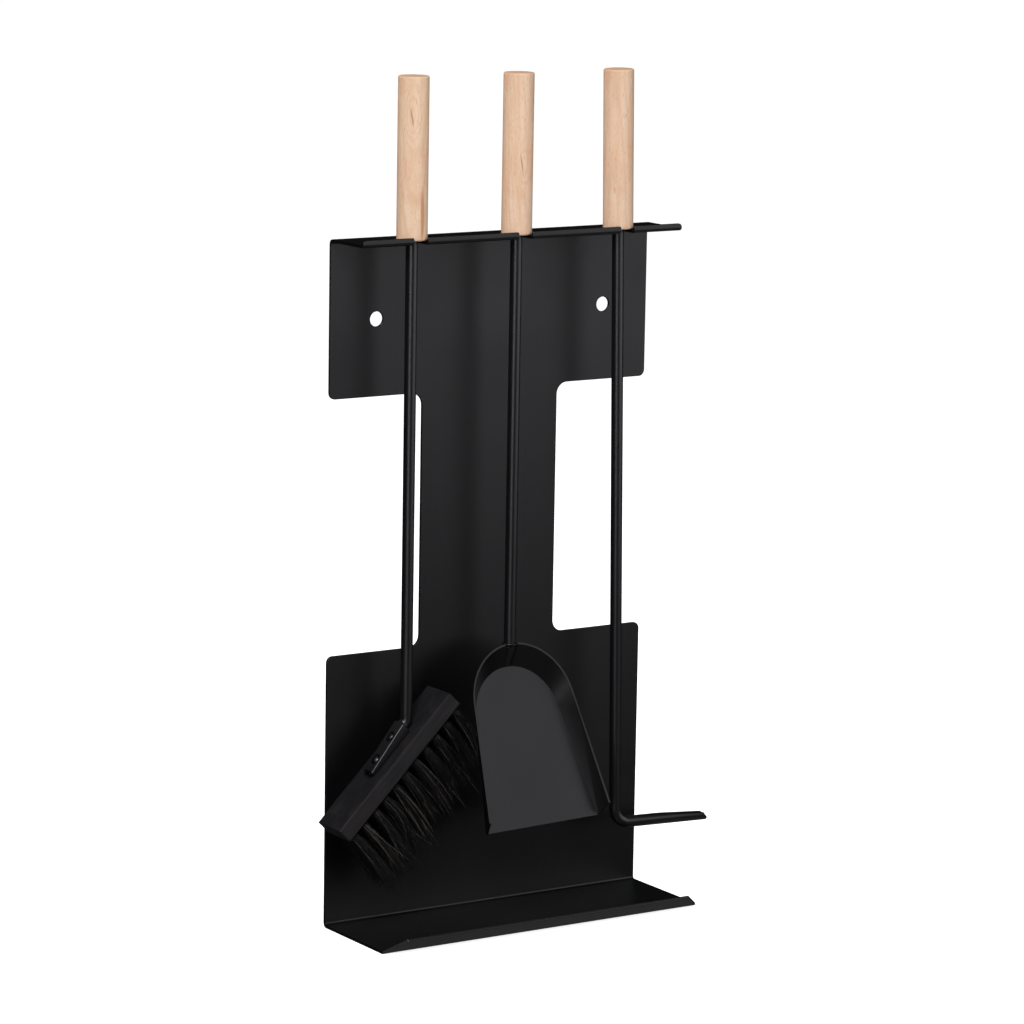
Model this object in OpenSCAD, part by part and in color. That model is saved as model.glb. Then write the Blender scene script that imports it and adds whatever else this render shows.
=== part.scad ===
// Fireplace tool set: a stand bent from one steel sheet, with a brush, a shovel and a poker that
// hang in the slots of its rail. Millimetres, +Z up, the wall side is +Y and the front faces -Y.
// The origin is the centre of the tray's flat underside.

/* [Stand] */
// Width of the sheet, its wings, the rail and the tray
stand_w = 250; // [220:1:320]
// Height from the floor to the top face of the rail
stand_h = 463; // [420:1:560]
// Thickness of the steel sheet
sheet_t = 2; // [1.5:0.1:3]
// Width of the neck between the two side notches
neck_w = 107; // [80:1:160]
// Height where the side notches start
notch_low_z = 185; // [120:1:220]
// Height where the side notches end
notch_high_z = 357; // [300:1:400]
// Corner radius inside the notches, beside the neck
notch_corner_r = 8; // [3:0.5:20]
// Corner radius of the wings, at the outer edge
wing_corner_r = 4.5; // [1:0.5:10]
// Inside radius of the two folds at the back
fold_r = 1.5; // [0.8:0.1:4]

/* [Tray] */
// Depth of the tray from the wall face to its front fold
tray_d = 77; // [60:1:120]
// Length of the flared front lip, along its slope
tray_lip_len = 15; // [8:1:30]
// Slope of the front lip from level, in degrees
tray_lip_deg = 40; // [20:1:80]
// How far each end of the lip is cut back at its top
tray_lip_cut = 13; // [0:1:30]

/* [Rail] */
// Reach of the rail from the wall face to the front of its lip
rail_d = 43; // [36:0.5:60]
// Height of the rail's small upturned lip, from the rail's underside
rail_lip_h = 5; // [3:0.1:10]
// Distance between the hanging slots
slot_pitch = 81; // [70:1:100]
// Width of each slot
slot_w = 10.5; // [9:0.1:14]
// Distance of a hanging rod from the wall face
hang_d = 31; // [24:0.5:45]

/* [Wall holes] */
// Distance between the two screw holes
hole_pitch = 179; // [100:1:210]
// Height of the screw holes
hole_z = 408.5; // [380:0.5:440]
// Diameter of the screw holes
hole_dia = 10; // [4:0.5:12]

/* [Handles and rods] */
// Diameter of a wooden handle
handle_dia = 20.5; // [16:0.5:30]
// Length of a wooden handle
handle_len = 107; // [80:1:150]
// Gap between a handle and the rail it rests on
rest_gap = 0.3; // [0.2:0.1:1]
// Diameter of a steel rod
rod_dia = 8; // [6:0.5:10]
// Diameter of the threaded end inside the handle
stud_dia = 6; // [4:0.5:7]
// Length of the threaded end
stud_len = 20; // [12:1:40]
// Outside diameter of the threaded insert in the handle
insert_dia = 9.5; // [8:0.5:12]
// Length of the threaded insert
insert_len = 18; // [10:1:30]

/* [Brush] */
// Slope of the brush block from level, in degrees
block_deg = 45; // [30:1:80]
// Length of the block
block_len = 119; // [80:1:160]
// Width of the block, front to back
block_w = 29; // [20:1:40]
// Thickness of the block
block_t = 12.2; // [8:0.1:20]
// Height where the rod's axis would meet the block's slope
block_corner_z = 142.6; // [120:0.2:200]
// Distance from that point down the slope to the middle of the block
block_shift = 28; // [10:1:50]
// Length of the flattened end of the rod, along the slope
tongue_len = 43.5; // [30:0.5:60]
// Width of the flattened end
tongue_w = 11; // [8:0.5:20]
// Free length of the bristles
bristle_len = 51; // [30:1:80]
// Tufts along the block
tuft_cols = 11; // [6:1:16]
// Tufts across the block
tuft_rows = 3; // [2:1:4]
// Tuft columns at the raised end, which pass behind the shovel
end_cols = 4; // [1:1:6]

/* [Shovel] */
// Turn of the shovel about its rod, in degrees
shovel_turn = 5.5; // [0:0.5:15]
// Forward slope of the pan's floor from upright, in degrees
pan_deg = 22.8; // [10:0.2:40]
// Radius of the floor's round end
pan_r = 35; // [25:0.1:50]
// Distance from the centre of the round end to the tip
pan_len = 74; // [50:1:110]
// Width of the floor at the tip
pan_tip_w = 94.6; // [70:0.2:140]
// Height of the pan's wall, square to the floor
pan_wall_h = 10.3; // [6:0.1:20]
// Thickness of the pan's sheet
pan_t = 1.2; // [0.8:0.1:2]
// Height of the centre of the round end
pan_z = 138.7; // [110:0.1:180]
// Distance of that centre in front of the rod's axis
pan_fwd = 11.2; // [6:0.1:20]

/* [Poker] */
// Lean of the poker from upright, lower end outwards, in degrees
poker_lean = 1.05; // [0:0.05:1.2]
// Turn of the hook towards the front, in degrees
poker_turn = 11; // [0:1:30]
// Height of the hook's axis, with the poker upright
hook_z = 52.4; // [30:0.1:100]
// Length of the hook from the rod's axis to its tip
hook_len = 68; // [40:1:100]
// Bend radius of the hook, on the rod's axis
hook_bend_r = 10; // [8:0.5:25]

/* [Show] */
// Which node to draw

/* [Hidden] */

$fn = 96;
cut = 1;                                    // how far a cutting solid runs past what it cuts
big = 400;                                  // longer than anything it has to clip

// stand
wall_y = tray_d / 2;                        // the wall face; distances in front of it count from here
fold_out_r = fold_r + sheet_t;
overlap_deg = 0.02;                         // the lip's fold runs this far into the lip, so that they are one solid
rail_lip_in_r = 0.5;
rail_lip_out_r = rail_lip_in_r + sheet_t;
rail_end_r = 2.5;                           // rounding of the rail lip's two ends
mouth_r = 1.2;                              // rounding of the lip beside each slot
slot_x = [-slot_pitch, 0, slot_pitch];

// handles and rods
handle_z = stand_h + rest_gap;              // underside of the handles
handle_edge_r = 1.2;
pilot_dia = stud_dia + 0.4;
pilot_len = stud_len + 4;
rod_r = rod_dia / 2;

// brush, in the block's own frame: x down the slope, z away from the bristles
brush_bend_r = 6;
brush_turn_deg = 90 - block_deg;
brush_tangent = brush_bend_r * tan(brush_turn_deg / 2);
joint_step = 0.02;                          // the bend is a hair thicker than the rod's straight parts,
joint_overlap = 0.1;                        // which begin inside it, so that they are all one solid
forge_press = 0.2;                          // how far the forged flat stands below the round rod
block_back = -rod_r - forge_press;          // the block's back face
block_front = block_back - block_t;
block_low_x = block_shift + block_len / 2;
block_bevel = 0.8;
forge_start = 2.5;                          // where the rod's top starts to be forged flat
flare_start = 2.5;                          // where its sides start to widen
flare_half = 0.5;
tongue_start = 4;                           // where it has its full width
tongue_thick = [8.0, 3.2];                  // its thickness there and at its end
tongue_corner_r = 2;
screw_x = [15, 33];
screw_seat = [6.0, 3.9];                    // height of each screw head's seat above the block
screw_dia = 3.5;
screw_head_dia = 6.6;
screw_head_h = 1.9;
screw_len = 5.5;                            // depth of the screw in the block, short of the tufts
tuft_root_r = 2.1;
tuft_tip_r = 3.9;
tuft_depth = 5;                             // depth of a tuft in the block
tuft_margin = 5.5;                          // from the end of the block to the first tuft
tuft_row_pitch = 9.2;
tuft_droop = [14, 5];                       // droop of the tufts at the raised and at the low end
tuft_pitch = (block_len - 2 * tuft_margin) / (tuft_cols - 1);

// shovel
rim_r = 41.2;                                // radius of the rim's round end
rim_shift = 6.7;                            // how far the rim's round end lies above the floor's
rim_tip_w = 102.6;                          // width between the wall tops at the tip
rim_cut_back = 5.8;                         // how far the wall tops stop short of the tip
socket_z = 186.6;                           // where the rod bends to follow the pan's back wall
socket_deg = 16.7;
socket_len = 14.4;
socket_end_r = 2.6;
weld_r = 1.1;

// poker
hook_flat_x = 27;                           // where the top of the hook starts to be forged flat
hook_tip_t = 5.4;                           // thickness of the hook at its tip
hook_tip_cut = 2.4;
// the raised edge of the leaning handle keeps the same gap as the upright ones
poker_lift = handle_dia / 2 * sin(poker_lean);

// ---------- shared shapes

// y counts from the wall face
module from_wall() {
    translate([0, wall_y, 0]) children();
}

// a tool's own frame: its rod's axis is the z axis
module hung(slot) {
    translate([slot_x[slot], wall_y - hang_d, 0]) children();
}

// part of a folded sheet, bent about an axis along x; 0 degrees is straight down, 90 is towards the wall
module fold(from_deg, to_deg, in_r, width) {
    rotate([0, 90, 0])
        rotate([0, 0, from_deg])
            translate([0, 0, -width / 2])
                rotate_extrude(angle = to_deg - from_deg)
                    translate([in_r, 0]) square([sheet_t, width]);
}

// what is cut away to round the upper right corner of a plate that faces y
module corner_cutter(r, depth) {
    rotate([90, 0, 0])
        translate([0, 0, -depth / 2])
            linear_extrude(depth)
                difference() {
                    translate([-r, -r]) square([r + cut, r + cut]);
                    translate([-r, -r]) circle(r);
                }
}

module handle() {
    r = handle_dia / 2;
    e = handle_edge_r;
    difference() {
        translate([0, 0, handle_z])
            rotate_extrude()
                union() {
                    square([r - e, handle_len]);
                    translate([0, e]) square([r, handle_len - 2 * e]);
                    for (y = [e, handle_len - e])
                        intersection() {
                            translate([r - e, y]) circle(e);
                            square([r, handle_len]);
                        }
                }
        translate([0, 0, handle_z - cut]) cylinder(d = insert_dia, h = insert_len + cut);
        translate([0, 0, handle_z]) cylinder(d = pilot_dia, h = pilot_len);
    }
}

module insert() {
    translate([0, 0, handle_z])
        difference() {
            cylinder(d = insert_dia, h = insert_len);
            translate([0, 0, -cut]) cylinder(d = stud_dia, h = insert_len + 2 * cut);
        }
}

// the straight part of a rod, up to the handle, with its threaded end
module straight_rod(low_z) {
    translate([0, 0, low_z]) cylinder(d = rod_dia, h = handle_z - low_z);
    translate([0, 0, handle_z]) cylinder(d = stud_dia, h = stud_len);
}

// ---------- stand

module notch(side) {
    height = notch_high_z - notch_low_z;
    depth = (stand_w - neck_w) / 2;
    r = notch_corner_r;
    thick = sheet_t + 2 * cut;
    mirror([side < 0 ? 1 : 0, 0, 0])
        translate([neck_w / 2, -sheet_t - cut, notch_low_z]) {
            translate([r, 0, 0]) cube([depth - r + cut, thick, height]);
            translate([0, 0, r]) cube([depth, thick, height - 2 * r]);
            for (z = [r, height - r])
                translate([r, 0, z]) rotate([-90, 0, 0]) cylinder(r = r, h = thick);
        }
}

module wing_corners(side) {
    mirror([side < 0 ? 1 : 0, 0, 0]) {
        translate([stand_w / 2, 0, notch_low_z]) corner_cutter(wing_corner_r, 4 * sheet_t);
        translate([stand_w / 2, 0, notch_high_z])
            mirror([0, 0, 1]) corner_cutter(wing_corner_r, 4 * sheet_t);
    }
}

module plate() {
    low = fold_out_r;
    high = stand_h - fold_out_r;
    difference() {
        translate([-stand_w / 2, -sheet_t, low]) cube([stand_w, sheet_t, high - low]);
        for (side = [-1, 1]) {
            notch(side);
            wing_corners(side);
            translate([side * hole_pitch / 2, cut, hole_z])
                rotate([90, 0, 0]) cylinder(d = hole_dia, h = sheet_t + 2 * cut);
        }
    }
}

module tray() {
    front_fold = tray_d - fold_out_r * tan(tray_lip_deg / 2);
    half = stand_w / 2;
    len = tray_lip_len - fold_out_r * tan(tray_lip_deg / 2);
    translate([0, -fold_out_r, fold_out_r]) fold(0, 90, fold_r, stand_w);
    translate([-half, -front_fold, 0]) cube([stand_w, front_fold - fold_out_r, sheet_t]);
    translate([0, -front_fold, fold_out_r]) fold(0, -tray_lip_deg - overlap_deg, fold_r, stand_w);
    translate([0, -front_fold, fold_out_r])
        rotate([-tray_lip_deg, 0, 0])
            translate([0, 0, -fold_out_r])
                linear_extrude(sheet_t)
                    polygon([
                        [-half, 0], [half, 0],
                        [half - tray_lip_cut, -len], [-half + tray_lip_cut, -len]
                    ]);
}

module rail_lip() {
    low = stand_h - sheet_t;
    half = stand_w / 2;
    difference() {
        union() {
            translate([0, -rail_d + rail_lip_out_r, low + rail_lip_out_r])
                fold(-90, 0, rail_lip_in_r, stand_w);
            translate([-half, -rail_d, low + rail_lip_out_r])
                cube([stand_w, sheet_t, rail_lip_h - rail_lip_out_r]);
        }
        for (side = [0, 1])
            mirror([side, 0, 0])
                translate([half, -rail_d, low + rail_lip_h]) corner_cutter(rail_end_r, 3 * sheet_t);
        for (x = slot_x, side = [0, 1])
            translate([x, -rail_d, low + rail_lip_h])
                mirror([side, 0, 0])
                    translate([-slot_w / 2, 0, 0]) corner_cutter(mouth_r, 3 * sheet_t);
    }
}

module slot_cutter() {
    height = rail_lip_h + 2 * cut;
    translate([0, -hang_d, stand_h - sheet_t - cut]) {
        cylinder(d = slot_w, h = height);
        translate([-slot_w / 2, -rail_d, 0]) cube([slot_w, rail_d, height]);
    }
}

module rail() {
    reach = rail_d - fold_out_r - rail_lip_out_r;
    difference() {
        union() {
            translate([0, -fold_out_r, stand_h - fold_out_r]) fold(90, 180, fold_r, stand_w);
            translate([-stand_w / 2, -fold_out_r - reach, stand_h - sheet_t])
                cube([stand_w, reach, sheet_t]);
            rail_lip();
        }
        for (x = slot_x) translate([x, 0, 0]) slot_cutter();
    }
}

module stand_sheet() {
    color("#202022")
        from_wall() {
            plate();
            tray();
            rail();
        }
}

// ---------- brush

module brush_frame() {
    translate([0, 0, block_corner_z])
        rotate([0, 180 - block_deg, 0])
            rotate([180, 0, 0]) children();
}

// the end of the rod, forged flat: the outline widens out of the round rod, and one cut shapes its top
module tongue() {
    half = tongue_w / 2;
    r = tongue_corner_r;
    difference() {
        union() {
            translate([brush_tangent - joint_overlap, 0, 0])
                rotate([0, 90, 0])
                    cylinder(d = rod_dia, h = tongue_start - brush_tangent + joint_overlap);
            translate([0, 0, block_back])
                linear_extrude(rod_dia + cut)
                    union() {
                        polygon([
                            [flare_start, -flare_half], [tongue_start, -half], [tongue_len - r, -half],
                            [tongue_len - r, half], [tongue_start, half], [flare_start, flare_half]
                        ]);
                        translate([tongue_start, -half + r])
                            square([tongue_len - tongue_start, tongue_w - 2 * r]);
                        for (y = [-1, 1])
                            translate([tongue_len - r, y * (half - r)]) circle(r);
                    }
        }
        translate([0, half + cut, 0])
            rotate([90, 0, 0])
                linear_extrude(tongue_w + 2 * cut)
                    polygon([
                        [forge_start, rod_r], [tongue_start, block_back + tongue_thick[0]],
                        [tongue_len, block_back + tongue_thick[1]],
                        [tongue_len + cut, block_back + tongue_thick[1]],
                        [tongue_len + cut, rod_dia], [forge_start, rod_dia]
                    ]);
    }
}

module screw_spots() {
    for (i = [0, 1])
        translate([screw_x[i], 0, block_back]) {
            translate([0, 0, -screw_len]) cylinder(d = screw_dia, h = big);
            translate([0, 0, screw_seat[i]]) cylinder(d = screw_head_dia, h = rod_dia);
        }
}

module brush_rod() {
    bend_z = block_corner_z + brush_tangent;
    color("#232325") hung(0) {
        straight_rod(bend_z - joint_overlap);
        translate([-brush_bend_r, 0, bend_z])
            rotate([90, 0, 0])
                rotate([0, 0, -brush_turn_deg])
                    rotate_extrude(angle = brush_turn_deg)
                        translate([brush_bend_r, 0]) circle(rod_r + joint_step);
        brush_frame()
            difference() {
                tongue();
                screw_spots();
            }
    }
}

module brush_screws() {
    dome_r = (pow(screw_head_dia / 2, 2) + pow(screw_head_h, 2)) / (2 * screw_head_h);
    color("#38383a") hung(0) brush_frame()
        for (i = [0, 1])
            translate([screw_x[i], 0, block_back]) {
                translate([0, 0, -screw_len])
                    cylinder(d = screw_dia, h = screw_len + screw_seat[i]);
                translate([0, 0, screw_seat[i]])
                    difference() {
                        intersection() {
                            translate([0, 0, screw_head_h - dome_r]) sphere(dome_r);
                            cylinder(d = screw_head_dia, h = screw_head_h);
                        }
                        for (a = [0, 90])
                            rotate([0, 0, a])
                                translate([-1.8, -0.4, screw_head_h - 1]) cube([3.6, 0.8, 2]);
                    }
            }
}

// places what it is given at every tuft of the columns from first to last
module at_tufts(first, last) {
    for (col = [first:last], row = [0:tuft_rows - 1]) {
        x = block_shift - block_len / 2 + tuft_margin + col * tuft_pitch;
        y = (row - (tuft_rows - 1) / 2) * tuft_row_pitch;
        share = col / (tuft_cols - 1);
        droop = tuft_droop[0] + (tuft_droop[1] - tuft_droop[0]) * share;
        $droop = droop;
        translate([x, y, block_front]) children();
    }
}

// more lengthens the root, for cutting its hole
module tuft_root(more) {
    rotate([0, -$droop, 0])
        translate([0, 0, -more]) cylinder(r = tuft_root_r, h = tuft_depth + more, $fn = 32);
}

module tuft() {
    tuft_root(0);
    rotate([0, 180 - $droop, 0])
        cylinder(r1 = tuft_root_r, r2 = tuft_tip_r, h = bristle_len, $fn = 32);
}

module brush_block() {
    b = block_bevel;
    half = block_w / 2;
    low = block_front;
    high = block_back;
    color("#1d1c1e") hung(0) brush_frame()
        difference() {
            translate([block_low_x - block_len, 0, 0])
                rotate([90, 0, 90])
                    linear_extrude(block_len)
                        polygon([
                            [-half + b, low], [half - b, low], [half, low + b], [half, high - b],
                            [half - b, high], [-half + b, high], [-half, high - b], [-half, low + b]
                        ]);
            screw_spots();
            at_tufts(0, tuft_cols - 1) tuft_root(2 * cut);
        }
}

module brush_tufts() {
    color("#141312") hung(0) brush_frame() at_tufts(end_cols, tuft_cols - 1) tuft();
}

module brush_end_tufts() {
    color("#141312") hung(0) brush_frame() at_tufts(0, end_cols - 1) tuft();
}

module brush_handle() {
    color("#dcb995") hung(0) handle();
}

module brush_insert() {
    color("#b08d57") hung(0) insert();
}

// ---------- shovel

module shovel_frame() {
    hung(1) rotate([0, 0, shovel_turn]) children();
}

// the pan's own frame: y up the floor, z square to it towards the front
module pan_frame() {
    translate([0, -pan_fwd, pan_z]) rotate([90 - pan_deg, 0, 0]) children();
}

// a flared tray-shaped solid between heights z0 and z1, grown outwards by more
module pan_body(z0, z1, more, tip_y) {
    hull()
        for (z = [z0, z1]) {
            share = z / pan_wall_h;
            radius = pan_r + (rim_r - pan_r) * share + more;
            tip_w = pan_tip_w + (rim_tip_w - pan_tip_w) * share + 2 * more;
            translate([0, rim_shift * share, z]) cylinder(r = radius, h = 0.01);
            translate([-tip_w / 2, tip_y, z]) cube([tip_w, 0.01, 0.01]);
        }
}

// the rod's lower end, bent to follow the pan's back wall, with more added to its radius
module rod_end(more) {
    translate([0, 0, socket_z])
        rotate([socket_deg, 0, 0])
            translate([0, 0, -socket_len])
                cylinder(r1 = socket_end_r + more, r2 = rod_r + more, h = socket_len);
}

module rod_shape() {
    straight_rod(socket_z);
    translate([0, 0, socket_z]) sphere(d = rod_dia);
    rod_end(0);
}

module pan_shape() {
    tip = -pan_len;
    slant = atan(rim_cut_back / pan_wall_h);
    difference() {
        union() {
            pan_frame()
                difference() {
                    pan_body(-pan_t, pan_wall_h, pan_t, tip);
                    pan_body(0, pan_wall_h + 2, 0, tip - 4);
                    translate([-big / 2, tip, 0])
                        rotate([-slant, 0, 0])
                            translate([0, -20, 0]) cube([big, 20, 30]);
                }
            // the half-round socket pressed into the back wall, around the rod's end
            intersection() {
                rod_end(pan_t);
                pan_frame() pan_body(-pan_t, 2.4 * pan_wall_h, pan_t, tip);
            }
        }
        rod_shape();
    }
}

module shovel_rod() {
    color("#232325") shovel_frame() rod_shape();
}

module shovel_pan() {
    color("#2b2b2d") shovel_frame() pan_shape();
}

// the bead where the rod meets the rim of the pan
module shovel_weld() {
    color("#2e2e30") shovel_frame()
        difference() {
            translate([0, 0, socket_z + weld_r / 2])
                rotate_extrude() translate([rod_r + 0.4, 0]) circle(weld_r, $fn = 32);
            rod_shape();
            pan_shape();
        }
}

module shovel_handle() {
    color("#dcb995") shovel_frame() handle();
}

module shovel_insert() {
    color("#b08d57") shovel_frame() insert();
}

// ---------- poker

module poker_frame() {
    hung(2)
        translate([0, 0, handle_z + poker_lift])
            rotate([0, -poker_lean, 0])
                rotate([0, 0, -poker_turn])
                    translate([0, 0, -handle_z]) children();
}

module hook() {
    drop = rod_dia - hook_tip_t;
    difference() {
        translate([hook_bend_r, 0, 0]) rotate([0, 90, 0]) cylinder(d = rod_dia, h = hook_len - hook_bend_r);
        // the forged flat on top
        translate([hook_flat_x, -rod_dia, rod_r])
            rotate([0, atan(drop / (hook_len - hook_flat_x)), 0]) cube([big, 2 * rod_dia, rod_dia]);
        // the slanted end
        translate([hook_len - hook_tip_cut, -rod_dia, rod_r - drop])
            rotate([0, 50, 0]) cube([big, 2 * rod_dia, rod_dia]);
    }
}

module poker_rod() {
    color("#232325") poker_frame() {
        straight_rod(hook_z + hook_bend_r);
        translate([hook_bend_r, 0, hook_z + hook_bend_r])
            rotate([90, 0, 0])
                rotate([0, 0, 180])
                    rotate_extrude(angle = 90) translate([hook_bend_r, 0]) circle(d = rod_dia);
        translate([0, 0, hook_z]) hook();
    }
}

module poker_handle() {
    color("#dcb995") poker_frame() handle();
}

module poker_insert() {
    color("#b08d57") poker_frame() insert();
}

// ---------- what is drawn

stand_sheet();
brush_handle();
brush_insert();
brush_rod();
brush_screws();
brush_block();
brush_tufts();
brush_end_tufts();
shovel_handle();
shovel_insert();
shovel_rod();
shovel_pan();
shovel_weld();
poker_handle();
poker_insert();
poker_rod();
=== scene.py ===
"""Looks of the fireplace tool set: surfaces, bristles, floor, light and camera around the CAD frame.

Metres, in the CAD frame: +Z up, the wall side is +Y, the front faces -Y.
"""
import math
import random

import bmesh
import bpy
import numpy as np
from mathutils import Matrix, Vector, noise


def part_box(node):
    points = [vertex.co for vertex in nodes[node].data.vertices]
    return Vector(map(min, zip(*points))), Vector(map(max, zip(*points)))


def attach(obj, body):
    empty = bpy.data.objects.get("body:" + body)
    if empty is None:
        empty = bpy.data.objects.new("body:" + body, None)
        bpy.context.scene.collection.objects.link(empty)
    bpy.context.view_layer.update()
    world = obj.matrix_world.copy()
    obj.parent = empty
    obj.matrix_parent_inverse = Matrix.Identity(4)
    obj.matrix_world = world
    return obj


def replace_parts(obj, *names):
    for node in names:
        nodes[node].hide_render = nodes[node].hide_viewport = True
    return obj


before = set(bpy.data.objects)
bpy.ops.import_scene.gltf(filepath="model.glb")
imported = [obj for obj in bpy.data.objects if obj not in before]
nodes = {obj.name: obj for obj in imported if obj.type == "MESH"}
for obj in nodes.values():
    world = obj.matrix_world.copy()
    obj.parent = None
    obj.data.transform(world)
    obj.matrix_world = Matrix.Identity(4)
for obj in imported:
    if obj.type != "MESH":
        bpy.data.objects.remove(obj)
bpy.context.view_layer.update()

MM = 0.001
WELD_DIST = 1e-6                    # points closer than this are one point

BLOCK_DEG = 45                      # slope of the brush block
BLOCK_FACE = Vector((0.7071, 0, -0.7071))       # the way its bristle face looks
FRONT_FACE_Y = -7 * MM                  # its front face, smoother and painted a lighter even grey as painted light

SHARP = math.radians(40)            # folds sharper than this are rounded by the paint
THIN = 0.03 * MM                    # area over perimeter of a face too thin to have rounded edges
SMOOTH_DEG = 38                     # faces closer than this in direction shade as one surface
ROUND_STEPS = 3                     # faces across a rounded edge

RING_WIDTH = 2.6 * MM               # one year's growth of the beech
RING_WOBBLE = 1.8 * MM              # how far a ring strays from a true circle

TUFT_DEPTH = 5 * MM                 # how much of a tuft's solid is inside the block
TUFT_END = 0.5 * MM                 # a tuft's end points lie this close to its very end
ROOT_INSIDE = 0.03                  # share of its length by which a hair starts inside the block
HAIRS = 150                         # in each tuft
HAIR_R = 0.115 * MM
HAIR_R_RANGE = (0.8, 1.15)          # a hair's own radius, as a share of that
HAIR_STEPS = 6
HAIR_SIDES = 3
HAIR_TAPER = 0.55                   # share of its radius that a hair loses towards its tip
HAIR_ACROSS = Vector((0.3, 0.9, 0.3))           # a direction that no hair runs along
DARK_TONE = (0.2, 0.2)              # mean and spread of the tones of the dark hairs
DARK_MOST = 0.7                     # the palest of them
GLINT_SHARE = 0.05                         # share of the hairs painted pale and thick as painted glints; they leave their lock too
GLINT_TONE = (0.72, 1.0)
GLINT_THICKER = 1.35                       # how much thicker the pale glint hairs are
STRAY = 0.2                         # share of the dark hairs that leave their lock
LOCKS = 24                          # groups of hairs that cling together in one tuft
LOCK_REACH = (-0.10, 0.08)          # how much longer a lock is than its tuft, as a share
LOCK_BEND = 3.0 * MM                # spread of the locks halfway along
ROOT_R = 2.4 * MM                   # spread of a tuft's hairs where they leave the block
TIP_R = 4.6 * MM                    # spread of its locks at their tips
REACH = (0.84, 1.08)                # where a hair of the lock ends, as a share of the tuft's length
KNEE_AT = (0.42, 0.6)               # where it bends over, as a share of the same
KNEE_SPREAD = 4.2 * MM              # spread of the hairs of one lock at the bend, and at their ends
END_SPREAD = 3.8 * MM
STRAY_KNEE = 5.4 * MM               # the same for the hairs that leave it
STRAY_END = 8.0 * MM

FLOOR_HALF = 30
FLOOR_DROP = 0.2 * MM               # the floor lies this far under the tray, so that they don't coincide
FLOOR_GLOW = 0.82
BOX_COLOUR = (0.95, 0.95, 1.0)      # the soft boxes are a little cool

AZIMUTH = math.radians(-32.913)     # the camera's place around the set, its height and its roll
ELEVATION = math.radians(10.060)
ROLL = math.radians(-0.954)
LOOK_AT = Vector((20.16, 38.5, 270.36)) * MM
DISTANCE = 2.96694
LENS = 154.17                       # mm, for a sensor 36 mm wide


# ---------- node trees

def linear(r, g, b):
    """A colour given as 0 to 255 sRGB values, as the linear RGBA that nodes take."""
    def one(v):
        v /= 255
        return v / 12.92 if v <= 0.04045 else ((v + 0.055) / 1.055) ** 2.4
    return one(r), one(g), one(b), 1.0


class Look:
    """One material and short calls that add nodes to its tree."""

    def __init__(self, name):
        self.material = bpy.data.materials.new(name)
        self.material.use_nodes = True
        self.tree = self.material.node_tree
        self.shader = self.tree.nodes["Principled BSDF"]

    def add(self, kind, inputs=(), **settings):
        node = self.tree.nodes.new(kind)
        for key, value in settings.items():
            setattr(node, key, value)
        for key, value in dict(inputs).items():
            self.put(node.inputs[key], value)
        return node

    def put(self, socket, value):
        if isinstance(value, bpy.types.NodeSocket):
            self.tree.links.new(value, socket)
        else:
            socket.default_value = value

    def set(self, **values):
        for key, value in values.items():
            self.put(self.shader.inputs[key.replace("_", " ")], value)

    def place(self, move=(0, 0, 0), turn=(0, 0, 0), scale=(1, 1, 1)):
        """Coordinates in the frame, seen from the place move, then turned in degrees and stretched."""
        where = self.add("ShaderNodeTexCoord").outputs["Object"]
        moved = self.vector("SUBTRACT", where, move)
        turned = self.add("ShaderNodeVectorRotate", {"Vector": moved}, rotation_type="EULER_XYZ")
        turned.inputs["Rotation"].default_value = [math.radians(a) for a in turn]
        return self.vector("MULTIPLY", turned.outputs[0], scale)

    def noise(self, where, scale, detail=3.0, rough=0.5, twist=0.0):
        node = self.add("ShaderNodeTexNoise", {
            "Vector": where, "Scale": scale, "Detail": detail, "Roughness": rough, "Distortion": twist,
        })
        return node.outputs[0]

    def math(self, operation, a, b=0.0, c=0.0):
        return self.add("ShaderNodeMath", {0: a, 1: b, 2: c}, operation=operation).outputs[0]

    def remap(self, value, low, high, to_low=0.0, to_high=1.0, smooth=False):
        node = self.add("ShaderNodeMapRange", {
            "Value": value, "From Min": low, "From Max": high, "To Min": to_low, "To Max": to_high,
        })
        node.interpolation_type = "SMOOTHSTEP" if smooth else "LINEAR"
        return node.outputs[0]

    def ramp(self, value, *stops):
        """stops are (position, colour)."""
        node = self.add("ShaderNodeValToRGB", {"Fac": value})
        elements = node.color_ramp.elements
        while len(elements) < len(stops):
            elements.new(0.5)
        for element, (position, colour) in zip(elements, stops):
            element.position = position
            element.color = colour
        return node.outputs[0]

    def mix(self, share, a, b):
        """Colour a, turned into b by share."""
        node = self.add("ShaderNodeMix", data_type="RGBA")
        self.put(node.inputs[0], share)
        self.put(node.inputs[6], a)
        self.put(node.inputs[7], b)
        return node.outputs[2]

    def tint(self, mask, strength, colour, other):
        """The colour, turned into the other by as much as strength where the mask is 1."""
        return self.mix(self.math("MULTIPLY", mask, strength), colour, other)

    def vector(self, operation, a, b=(0, 0, 0)):
        return self.add("ShaderNodeVectorMath", {0: a, 1: b}, operation=operation).outputs[0]

    def length(self, a):
        return self.add("ShaderNodeVectorMath", {0: a}, operation="LENGTH").outputs["Value"]

    def axis(self, a, name):
        return self.add("ShaderNodeSeparateXYZ", {0: a}).outputs[name]

    def geometry(self, name):
        return self.add("ShaderNodeNewGeometry").outputs[name]

    def specular(self, level):
        self.shader.inputs["Specular IOR Level"].default_value = level

    def bump(self, height, strength, distance, under=None):
        inputs = {"Height": height, "Strength": strength, "Distance": distance}
        if under is not None:
            inputs["Normal"] = under
        return self.add("ShaderNodeBump", inputs).outputs[0]


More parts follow.
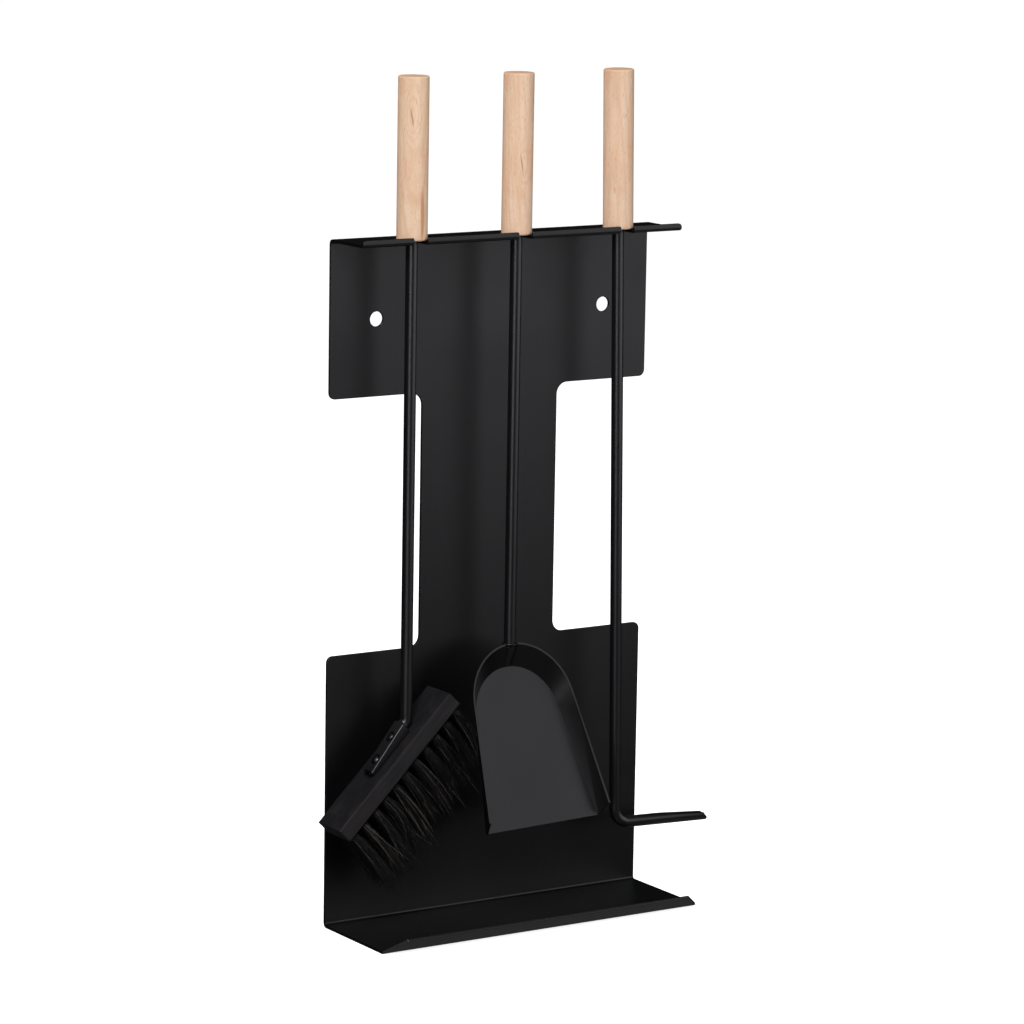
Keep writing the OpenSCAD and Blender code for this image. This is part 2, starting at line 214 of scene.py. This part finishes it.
def powder_coat(name, dark, light, rough, gloss):
    """Baked powder coat: a fine pebbled skin, with a slow change of tone and gloss over it."""
    look = Look(name)
    where = look.place()
    cloud = look.noise(where, 14, detail=2)
    grain = look.noise(where, 900, detail=2, rough=0.6)
    pebble = look.noise(where, 2600, detail=1)
    speck = look.remap(look.noise(where, 1500, detail=1), 0.70, 0.76)
    tone = look.math("MULTIPLY_ADD", grain, 0.35, cloud)
    colour = look.ramp(tone, (0.40, dark), (0.95, light))
    colour = look.tint(speck, 0.35, colour, linear(30, 30, 31))
    look.set(Base_Color=colour)
    look.set(Roughness=look.remap(tone, 0.35, 1.0, rough + 0.05, rough - 0.04))
    skin = look.bump(grain, 0.10, 0.12 * MM)
    look.set(Normal=look.bump(pebble, 0.08, 0.05 * MM, under=skin))
    look.specular(gloss)
    return look.material


def beech(name, centre, pith, lean, pale, warm, knots, streak=None):
    """Turned beech, sanded and unvarnished: growth rings, short dark rays and fine pores.

    pith is the middle of the tree, seen from the handle's centre, and lean tilts it. A knot is
    (x, y, z, size) from the handle's centre, and the rings bend around it. A streak is a brown stain.
    """
    look = Look(name)
    radius, cores = ring_radius(look, centre, pith, lean, knots)
    rings = look.math("SINE", look.math("MULTIPLY", radius, 2 * math.pi / RING_WIDTH))
    late = look.math("POWER", look.remap(rings, -1, 1), 3.0)

    def along_grain(shrink, scale, **more):
        return look.noise(look.place(move=centre, scale=(1, 1, shrink)), scale, **more)

    fibre = along_grain(0.035, 2300, detail=3, rough=0.6)
    broad = along_grain(0.10, 190, detail=3, rough=0.55)
    rays = look.remap(along_grain(0.16, 1500, detail=1), 0.66, 0.78)
    pores = look.remap(along_grain(0.07, 3600, detail=1), 0.62, 0.75)
    blush = look.remap(along_grain(0.45, 62, detail=3, rough=0.6, twist=0.5), 0.46, 0.68)

    colour = look.ramp(broad, (0.28, pale), (0.72, warm))
    colour = look.tint(blush, 0.75, colour, linear(222, 168, 130))
    colour = look.tint(late, 0.24, colour, linear(196, 152, 116))
    colour = look.tint(fibre, 0.30, colour, linear(232, 204, 178))
    colour = look.tint(rays, 0.62, colour, linear(178, 128, 92))
    colour = look.tint(pores, 0.45, colour, linear(170, 122, 88))
    for core in cores:
        colour = look.tint(core, 0.62, colour, linear(150, 98, 62))
    end_grain = look.remap(look.axis(look.geometry("Normal"), "Z"), 0.3, 0.8, 0.0, 0.8)
    colour = look.mix(end_grain, colour, linear(172, 136, 108))
    if streak:
        colour = look.mix(stain(look, centre, streak, fibre), colour, linear(186, 122, 74))
    look.set(Base_Color=colour)
    look.set(Roughness=look.remap(fibre, 0.2, 0.8, 0.50, 0.66))
    grooves = look.bump(fibre, 0.22, 0.08 * MM)
    look.set(Normal=look.bump(pores, -0.35, 0.06 * MM, under=grooves))
    look.specular(0.35)
    return look.material


def ring_radius(look, centre, pith, lean, knots):
    """(distance from the pith, bent around the knots, and a mask for each knot's dark core)."""
    wobble = look.noise(look.place(move=centre, scale=(1, 1, 0.28)), 60, detail=2)
    wobble = look.remap(wobble, 0, 1, -RING_WOBBLE, RING_WOBBLE)
    from_pith = look.vector("SUBTRACT", look.place(move=centre, turn=lean), pith)
    radius = look.math("ADD", look.length(look.vector("MULTIPLY", from_pith, (1, 1, 0))), wobble)
    cores = []
    for x, y, z, size in knots:
        spot = (centre[0] + x, centre[1] + y, centre[2] + z)
        far = look.length(look.place(move=spot, scale=(1 / size, 1 / size, 0.36 / size)))
        pull = look.remap(far, 0.0, 2.6, 1.0, 0.0, smooth=True)
        radius = look.math("ADD", radius, look.math("MULTIPLY", pull, 2.3 * size))
        slim = look.place(move=spot, turn=(0, 8, 0), scale=(5.0 / size, 1 / size, 0.42 / size))
        cores.append(look.remap(look.length(slim), 0.25, 1.25, 1.0, 0.0, smooth=True))
    return radius, cores


def stain(look, centre, streak, fibre):
    """A mask for a long stain with ragged sides. A streak is (x, y, z, width, height)."""
    x, y, z, wide, tall = streak
    spot = (centre[0] + x, centre[1] + y, centre[2] + z)
    far = look.length(look.place(move=spot, scale=(1 / wide, 0.5 / wide, 1 / tall)))
    ragged = look.math("ADD", far, look.remap(fibre, 0, 1, -0.35, 0.35))
    return look.remap(ragged, 0.5, 1.15, 0.75, 0.0, smooth=True)


def stained_wood(name):
    """Rough-sawn wood with a thin black stain that lets some brown through, most along its edges. Its
    front face is smoother and is painted a lighter, even grey: painted light, as if it caught more light
    than the other faces.
    """
    look = Look(name)
    turn = (0, BLOCK_DEG, 0)
    grain = look.noise(look.place(turn=turn, scale=(0.05, 1, 1)), 900, detail=4, rough=0.62)
    bands = look.noise(look.place(turn=turn, scale=(0.3, 1, 1)), 160, detail=4, twist=0.4)
    patches = look.noise(look.place(), 55, detail=3)
    pits = look.remap(look.noise(look.place(turn=turn, scale=(0.10, 1, 1)), 2100, detail=1), 0.60, 0.72)
    stain_dark, stain_mid, stain_thin = linear(11, 11, 13), linear(20, 20, 22), linear(29, 27, 28)
    colour = look.ramp(bands, (0.30, stain_dark), (0.62, stain_mid), (0.80, stain_thin))
    colour = look.tint(look.remap(patches, 0.52, 0.70), 0.60, colour, linear(36, 28, 24))
    colour = look.tint(pits, 0.7, colour, linear(6, 6, 7))
    # painted light: the front face gets a lighter even grey, as if lit more than the back
    front_face = look.remap(look.axis(look.place(), "Y"), FRONT_FACE_Y + 0.5 * MM, FRONT_FACE_Y + 0.1 * MM)
    painted_lit_front = look.ramp(bands, (0.30, linear(32, 30, 31)), (0.75, linear(37, 34, 34)))
    colour = look.tint(front_face, 0.9, colour, painted_lit_front)
    edge = look.remap(look.geometry("Pointiness"), 0.525, 0.60)
    worn = look.math("MULTIPLY", edge, look.remap(patches, 0.46, 0.60))
    colour = look.tint(worn, 0.30, colour, linear(80, 66, 58))
    look.set(Base_Color=colour)
    look.set(Roughness=look.remap(grain, 0.3, 0.7, 0.62, 0.85))
    sawn = look.bump(grain, look.remap(front_face, 0, 1, 0.5, 0.12), 0.22 * MM)
    look.set(Normal=look.bump(pits, -0.5, 0.15 * MM, under=sawn))
    look.specular(0.25)
    return look.material


def bristle_hair(name):
    """Stiff dark hair. Each hair has a tone of its own, and a few are painted pale as painted glints."""
    look = Look(name)
    tone = look.add("ShaderNodeAttribute", attribute_name="tone").outputs["Fac"]
    along = look.noise(look.place(), 420, detail=2)
    mixed = look.math("MULTIPLY_ADD", along, 0.25, tone)
    # the brown and pale stops mostly colour the pale hairs: painted glints on single hairs
    black, grey, brown, pale = linear(7, 7, 7), linear(28, 26, 25), linear(60, 56, 52), linear(98, 92, 85)
    look.set(Base_Color=look.ramp(mixed, (0.15, black), (0.65, grey), (0.90, brown), (1.0, pale)))
    look.set(Roughness=look.remap(along, 0.3, 0.7, 0.38, 0.52))
    look.set(Normal=look.bump(look.noise(look.place(), 5200, detail=1), 0.15, 0.02 * MM))
    return look.material


def metal(name, dark, light, rough, scratch_scale):
    """Bare metal with fine turning marks and a little tarnish."""
    look = Look(name)
    marks = look.noise(look.place(scale=(0.12, 0.12, 1)), scratch_scale, detail=2)
    tarnish = look.noise(look.place(), 340, detail=3)
    look.set(Base_Color=look.ramp(tarnish, (0.35, dark), (0.70, light)))
    look.set(Roughness=look.remap(marks, 0.3, 0.7, rough - 0.06, rough + 0.12))
    look.set(Normal=look.bump(marks, 0.25, 0.03 * MM))
    look.set(Metallic=1.0)
    return look.material


# ---------- meshes

def new_piece(name, mesh, material, body):
    """A new visible piece with one material, which rides on a body."""
    piece = bpy.data.objects.new(name, mesh)
    bpy.context.scene.collection.objects.link(piece)
    mesh.materials.clear()
    mesh.materials.append(material)
    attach(piece, body)
    return piece


def apply_modifiers(piece):
    """The piece's mesh becomes what its modifiers make of it."""
    ready = piece.evaluated_get(bpy.context.evaluated_depsgraph_get())
    mesh = bpy.data.meshes.new_from_object(ready)
    piece.modifiers.clear()
    piece.data = mesh


def clean_copy(node):
    """A copy of a CAD node's mesh: seams closed, flat faces whole, sharp edges given a bevel weight."""
    mesh = bpy.data.meshes.new(node + "_soft")
    work = bmesh.new()
    work.from_mesh(nodes[node].data)
    bmesh.ops.remove_doubles(work, verts=work.verts, dist=WELD_DIST)
    flat = math.radians(0.05)
    bmesh.ops.dissolve_limit(work, angle_limit=flat, verts=work.verts, edges=work.edges)
    weight = work.edges.layers.float.new("bevel_weight_edge")
    for edge in work.edges:
        if len(edge.link_faces) == 2 and edge.calc_face_angle() > SHARP:
            thinnest = min(face.calc_area() / face.calc_perimeter() for face in edge.link_faces)
            edge[weight] = float(thinnest > THIN)
    work.to_mesh(mesh)
    work.free()
    return mesh


def even_normals(mesh, degrees):
    """Gives each corner the mean normal of those faces around it that lie nearly the way its own does."""
    limit = math.cos(math.radians(degrees))
    flat = [(face.normal.copy(), face.area) for face in mesh.polygons]
    around = [[] for _ in mesh.vertices]
    for face in mesh.polygons:
        for vertex in face.vertices:
            around[vertex].append(flat[face.index])
    corners = []
    for face in mesh.polygons:
        own = flat[face.index][0]
        for vertex in face.vertices:
            total = Vector()
            for normal, area in around[vertex]:
                if normal.dot(own) > limit:
                    total += normal * area
            corners.append(total.normalized())
    mesh.shade_smooth()
    mesh.normals_split_custom_set(corners)


def softened(node, material, body, width):
    """Stands for a CAD node whose sharp edges a coat of paint has rounded."""
    piece = new_piece(node + "_coated", clean_copy(node), material, body)
    bevel = piece.modifiers.new("edges", "BEVEL")
    bevel.width = width
    bevel.segments = ROUND_STEPS
    bevel.limit_method = "WEIGHT"
    bevel.use_clamp_overlap = False
    apply_modifiers(piece)
    even_normals(piece.data, SMOOTH_DEG)
    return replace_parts(piece, node)


def roughened(node, material, body, voxel, depth, scale, stretch=1.0):
    """Stands for a CAD node with an uneven surface: its skin sinks by up to twice the depth.

    stretch below 1 draws the unevenness out along the brush block.
    """
    piece = new_piece(node + "_rough", clean_copy(node), material, body)
    remesh = piece.modifiers.new("skin", "REMESH")
    remesh.mode = "VOXEL"
    remesh.voxel_size = voxel
    apply_modifiers(piece)
    turn = Matrix.Rotation(math.radians(BLOCK_DEG), 3, "Y")
    moved = []
    for vertex, out in zip(piece.data.vertices, piece.data.vertex_normals):
        at = turn @ vertex.co
        at = Vector((at.x * stretch, at.y, at.z)) * scale
        moved.extend(vertex.co + out.vector * (depth * (noise.noise(at) - 1)))
    piece.data.vertices.foreach_set("co", moved)
    piece.data.update()
    piece.data.shade_smooth()
    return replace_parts(piece, node)


# ---------- bristles

def islands(mesh):
    """The point clouds of a mesh's separate solids."""
    work = bmesh.new()
    work.from_mesh(mesh)
    bmesh.ops.remove_doubles(work, verts=work.verts, dist=WELD_DIST)
    left = set(work.verts)
    found = []
    while left:
        stack = [left.pop()]
        points = []
        while stack:
            vertex = stack.pop()
            points.append(tuple(vertex.co))
            for edge in vertex.link_edges:
                other = edge.other_vert(vertex)
                if other in left:
                    left.remove(other)
                    stack.append(other)
        found.append(np.array(points))
    work.free()
    return found


def tuft_line(points):
    """(where a tuft leaves the block, the middle of its tip), from its solid's points.

    The solid widens to its tip, so its narrow end is its root.
    """
    middle = points.mean(0)
    axis = np.linalg.svd(points - middle, full_matrices=False)[2][0]
    along = (points - middle) @ axis
    ends = []
    for side in (1, -1):
        at_end = points[along * side > (along * side).max() - TUFT_END]
        centre = at_end.mean(0)
        ends.append((np.linalg.norm(at_end - centre, axis=1).max(), centre))
    ends.sort(key=lambda end: end[0])
    root, tip = ends[0][1], ends[1][1]
    share = TUFT_DEPTH / np.linalg.norm(tip - root)
    return Vector(root + (tip - root) * share), Vector(tip)


def in_disc(rng, radius, u, v):
    """A random place in a disc across the directions u and v."""
    angle = rng.uniform(0, 2 * math.pi)
    far = radius * math.sqrt(rng.random())
    return u * (far * math.cos(angle)) + v * (far * math.sin(angle))


def hair_path(rng, root, tip, u, v, lock, stray):
    """Points of one hair: square out of the block, then over to where its lock's tips hang."""
    start = root + in_disc(rng, ROOT_R, u, v)
    length = (tip - root).length
    end = root.lerp(tip, rng.uniform(*REACH) + lock["reach"]) + lock["tip"]
    end += in_disc(rng, STRAY_END if stray else END_SPREAD, u, v)
    knee = start + BLOCK_FACE * (length * rng.uniform(*KNEE_AT)) + lock["bend"]
    knee += in_disc(rng, STRAY_KNEE if stray else KNEE_SPREAD, u, v)
    path = []
    for step in range(HAIR_STEPS + 1):
        t = step / HAIR_STEPS
        path.append(start.lerp(knee, t).lerp(knee.lerp(end, t), t))
    return path


def add_hair(verts, faces, tones, path, radius, tone):
    """Adds a thin closed tube along the path, tapering to its tip."""
    first = len(verts)
    last = len(path) - 1
    for i, point in enumerate(path):
        ahead = (path[min(i + 1, last)] - path[max(i - 1, 0)]).normalized()
        side = ahead.cross(HAIR_ACROSS).normalized()
        up = ahead.cross(side)
        thin = radius * (1 - HAIR_TAPER * (i / last) ** 2)
        for k in range(HAIR_SIDES):
            angle = 2 * math.pi * k / HAIR_SIDES
            verts.append(point + (side * math.cos(angle) + up * math.sin(angle)) * thin)
            tones.append(tone)
        if i:
            below = first + HAIR_SIDES * (i - 1)
            above = below + HAIR_SIDES
            for k in range(HAIR_SIDES):
                k2 = (k + 1) % HAIR_SIDES
                faces.append((below + k, below + k2, above + k2, above + k))
    top = first + HAIR_SIDES * last
    faces.append(tuple(first + k for k in reversed(range(HAIR_SIDES))))
    faces.append(tuple(top + k for k in range(HAIR_SIDES)))


def new_lock(rng, u, v):
    """What the hairs of one lock share."""
    return {
        "tip": in_disc(rng, TIP_R, u, v),
        "bend": in_disc(rng, LOCK_BEND, u, v),
        "reach": rng.uniform(*LOCK_REACH),
    }


def bristles(node, material, seed):
    """Stands for a node of tufts with the single hairs of each."""
    rng = random.Random(seed)
    verts, faces, tones = [], [], []
    lines = [tuft_line(points) for points in islands(nodes[node].data)]
    lines.sort(key=lambda line: (round(line[0].z, 4), round(line[0].y, 4)))
    for root, tip in lines:
        axis = (tip - root).normalized()
        u = axis.cross(Vector((0, 1, 0))).normalized()
        v = axis.cross(u)
        locks = [new_lock(rng, u, v) for _ in range(LOCKS)]
        inside = root.lerp(tip, -ROOT_INSIDE)
        for _ in range(HAIRS):
            tone = min(DARK_MOST, abs(rng.gauss(*DARK_TONE)))
            radius = HAIR_R * rng.uniform(*HAIR_R_RANGE)
            # pale hairs are painted glints: a pale tone and a thicker tube for light caught on single
            # hairs
            pale = rng.random() < GLINT_SHARE
            if pale:
                tone = rng.uniform(*GLINT_TONE)
                radius *= GLINT_THICKER
            stray = pale or rng.random() < STRAY
            path = hair_path(rng, inside, tip, u, v, rng.choice(locks), stray)
            add_hair(verts, faces, tones, path, radius, tone)
    mesh = bpy.data.meshes.new(node + "_hair")
    mesh.from_pydata(verts, [], faces)
    mesh.attributes.new("tone", "FLOAT", "POINT").data.foreach_set("value", tones)
    mesh.shade_smooth()
    piece = new_piece(node + "_hair", mesh, material, "brush")
    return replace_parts(piece, node)


# ---------- what stands where

def paint(node, material):
    """A carried-over CAD node keeps its shape and gets its finish."""
    data = nodes[node].data
    data.materials.clear()
    data.materials.append(material)


def handle_centre(node):
    """The middle of a handle's box."""
    low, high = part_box(node)
    return tuple((low + high) / 2)


def make_handles():
    pale, warm = linear(231, 201, 171), linear(220, 181, 145)
    yellow = linear(222, 186, 146)
    looks = {
        "brush_handle": dict(
            pith=(0.010, 0.030, 0), lean=(4, -2, 0), pale=pale, warm=yellow,
            knots=[(-6.0 * MM, -8 * MM, 27 * MM, 3.2 * MM)],
            streak=(1.6 * MM, -10.0 * MM, -36 * MM, 1.7 * MM, 19 * MM),
        ),
        "shovel_handle": dict(
            pith=(-0.020, 0.032, 0), lean=(2, 3, 0), pale=pale, warm=warm,
            knots=[(-3.0 * MM, -9.6 * MM, -6 * MM, 3.0 * MM)],
        ),
        "poker_handle": dict(
            pith=(0.034, 0.024, 0), lean=(-3, 1, 0), pale=pale, warm=warm,
            knots=[(-7 * MM, -6.5 * MM, -27 * MM, 1.1 * MM)],
        ),
    }
    for node, values in looks.items():
        paint(node, beech(node + "_beech", handle_centre(node), **values))


def make_metal():
    stand_coat = powder_coat("stand_coat", linear(4, 4, 5), linear(7, 7, 8), rough=0.38, gloss=0.52)
    rod_coat = powder_coat("rod_coat", linear(7, 7, 8), linear(10, 10, 12), rough=0.34, gloss=0.72)
    pan_coat = powder_coat("pan_coat", linear(8, 8, 9), linear(12, 12, 13), rough=0.33, gloss=0.36)
    softened("stand_sheet", stand_coat, "stand", 0.35 * MM)
    softened("brush_rod", rod_coat, "brush", 0.8 * MM)
    softened("poker_rod", rod_coat, "poker", 0.5 * MM)
    softened("shovel_pan", pan_coat, "shovel", 0.16 * MM)
    paint("shovel_rod", rod_coat)
    roughened(
        "shovel_weld", pan_coat, "shovel",
        voxel=0.2 * MM, depth=0.12 * MM, scale=900,
    )
    steel = metal("screw_steel", linear(46, 46, 49), linear(84, 84, 88), 0.40, scratch_scale=3000)
    brass = metal("insert_brass", linear(150, 118, 66), linear(188, 154, 96), 0.30, scratch_scale=2500)
    paint("brush_screws", steel)
    for node in ("brush_insert", "shovel_insert", "poker_insert"):
        paint(node, brass)


def make_brush():
    roughened(
        "brush_block", stained_wood("block_stain"), "brush",
        voxel=0.55 * MM, depth=0.16 * MM, scale=420, stretch=0.12,
    )
    hair = bristle_hair("bristle_hair")
    bristles("brush_tufts", hair, seed=11)
    bristles("brush_end_tufts", hair, seed=12)


# ---------- floor, light and camera

def make_floor():
    """A white paper floor with a glow of its own, so that only a faint shadow shows on it.

    No gloss mirrors it and it lights nothing, as the world below does that.
    """
    half = FLOOR_HALF
    corners = [(-half, -half, 0), (half, -half, 0), (half, half, 0), (-half, half, 0)]
    mesh = bpy.data.meshes.new("floor")
    mesh.from_pydata(corners, [], [(0, 1, 2, 3)])
    floor = bpy.data.objects.new("floor", mesh)
    floor.location.z = -FLOOR_DROP
    floor.visible_glossy = False
    floor.visible_diffuse = False
    bpy.context.scene.collection.objects.link(floor)
    look = Look("floor_paper")
    fibres = look.noise(look.place(), 6)
    look.set(Base_Color=look.ramp(fibres, (0.3, linear(228, 228, 228)), (0.7, linear(232, 232, 232))))
    look.set(Roughness=0.9, Emission_Color=(1, 1, 1, 1), Emission_Strength=FLOOR_GLOW)
    look.specular(0.1)
    mesh.materials.append(look.material)


def aim(thing, place, target):
    """Puts a lamp at the place, shining at the target."""
    back = (Vector(place) - Vector(target)).normalized()
    thing.location = place
    thing.rotation_euler = back.to_track_quat("Z", "Y").to_euler()


def soft_box(name, place, target, width, height, watts, shows=True):
    """A lit panel; with shows off it lights things but no gloss mirrors it."""
    data = bpy.data.lights.new(name, "AREA")
    data.shape = "RECTANGLE"
    data.size = width
    data.size_y = height
    data.energy = watts
    data.color = BOX_COLOUR
    lamp = bpy.data.objects.new(name, data)
    lamp.visible_glossy = shows
    bpy.context.scene.collection.objects.link(lamp)
    aim(lamp, place, target)


def make_world():
    """Dark all round, with a glow from below, as from a pale floor, and a faint one from above."""
    world = bpy.data.worlds.new("studio")
    world.use_nodes = True
    tree = world.node_tree
    where = tree.nodes.new("ShaderNodeTexCoord")
    split = tree.nodes.new("ShaderNodeSeparateXYZ")
    height = tree.nodes.new("ShaderNodeMapRange")
    height.inputs["From Min"].default_value = -1
    ramp = tree.nodes.new("ShaderNodeValToRGB")
    # (height, grey), where 0 is straight down, 0.5 level and 1 straight up
    stops = ((0.0, 0.20), (0.16, 0.15), (0.30, 0.02), (0.56, 0.003), (1.0, 0.022))
    elements = ramp.color_ramp.elements
    while len(elements) < len(stops):
        elements.new(0.5)
    for element, (position, grey) in zip(elements, stops):
        element.position = position
        element.color = (grey, grey, grey, 1)
    tree.links.new(where.outputs["Generated"], split.inputs[0])
    tree.links.new(split.outputs["Z"], height.inputs["Value"])
    tree.links.new(height.outputs[0], ramp.inputs[0])
    tree.links.new(ramp.outputs[0], tree.nodes["Background"].inputs["Color"])
    bpy.context.scene.world = world


def make_light():
    """Soft boxes around the set, and a wide dim sun overhead.

    The key box at the front right shows in the sheet metal, and the wide and left boxes show in the
    rods. The front box lights the wood. The sun and the back boxes show in no gloss.
    """
    data = bpy.data.lights.new("overhead", "SUN")
    data.energy = 0.8
    data.angle = math.radians(80)
    lamp = bpy.data.objects.new("overhead", data)
    lamp.visible_glossy = False
    bpy.context.scene.collection.objects.link(lamp)
    aim(lamp, (-0.3, -0.8, 2.6), (0, 0, 0))
    soft_box("key_box", (1.0, -1.1, 0.69), (0, 0, 0.6), 1.7, 1.28, 8.8)
    soft_box("front_box", (-1.15, -1.35, 2.0), (0, 0, 0.45), 0.9, 0.6, 47)
    soft_box("wide_box", (-1.45, -1.55, 0.5), (0, 0, 0.35), 1.25, 1.3, 5.6)
    soft_box("left_box", (-1.50, -1.25, 0.8), (0, 0, 0.4), 0.22, 1.6, 5)
    soft_box("back_left_box", (-0.9, 1.1, 1.7), (0, 0, 0.4), 1.2, 0.8, 14, shows=False)
    soft_box("back_right_box", (1.1, 0.9, 1.8), (0, 0, 0.4), 1.2, 0.8, 14, shows=False)


def make_camera():
    """The view from the front left, a little above, that the set is shown from."""
    back = Vector((
        math.sin(AZIMUTH) * math.cos(ELEVATION),
        -math.cos(AZIMUTH) * math.cos(ELEVATION),
        math.sin(ELEVATION),
    ))
    right = (-back).cross(Vector((0, 0, 1))).normalized()
    up = right.cross(-back)
    turned_right = right * math.cos(ROLL) - up * math.sin(ROLL)
    turned_up = right * math.sin(ROLL) + up * math.cos(ROLL)
    data = bpy.data.cameras.new("camera")
    data.sensor_width = 36
    data.lens = LENS
    data.clip_end = 200
    camera = bpy.data.objects.new("camera", data)
    bpy.context.scene.collection.objects.link(camera)
    axes = Matrix((turned_right, turned_up, back)).transposed().to_4x4()
    camera.matrix_world = Matrix.Translation(LOOK_AT + back * DISTANCE) @ axes
    bpy.context.scene.camera = camera


make_camera()
make_handles()
make_metal()
make_brush()
make_floor()
make_world()
make_light()
bpy.context.scene.view_settings.view_transform = "Standard"
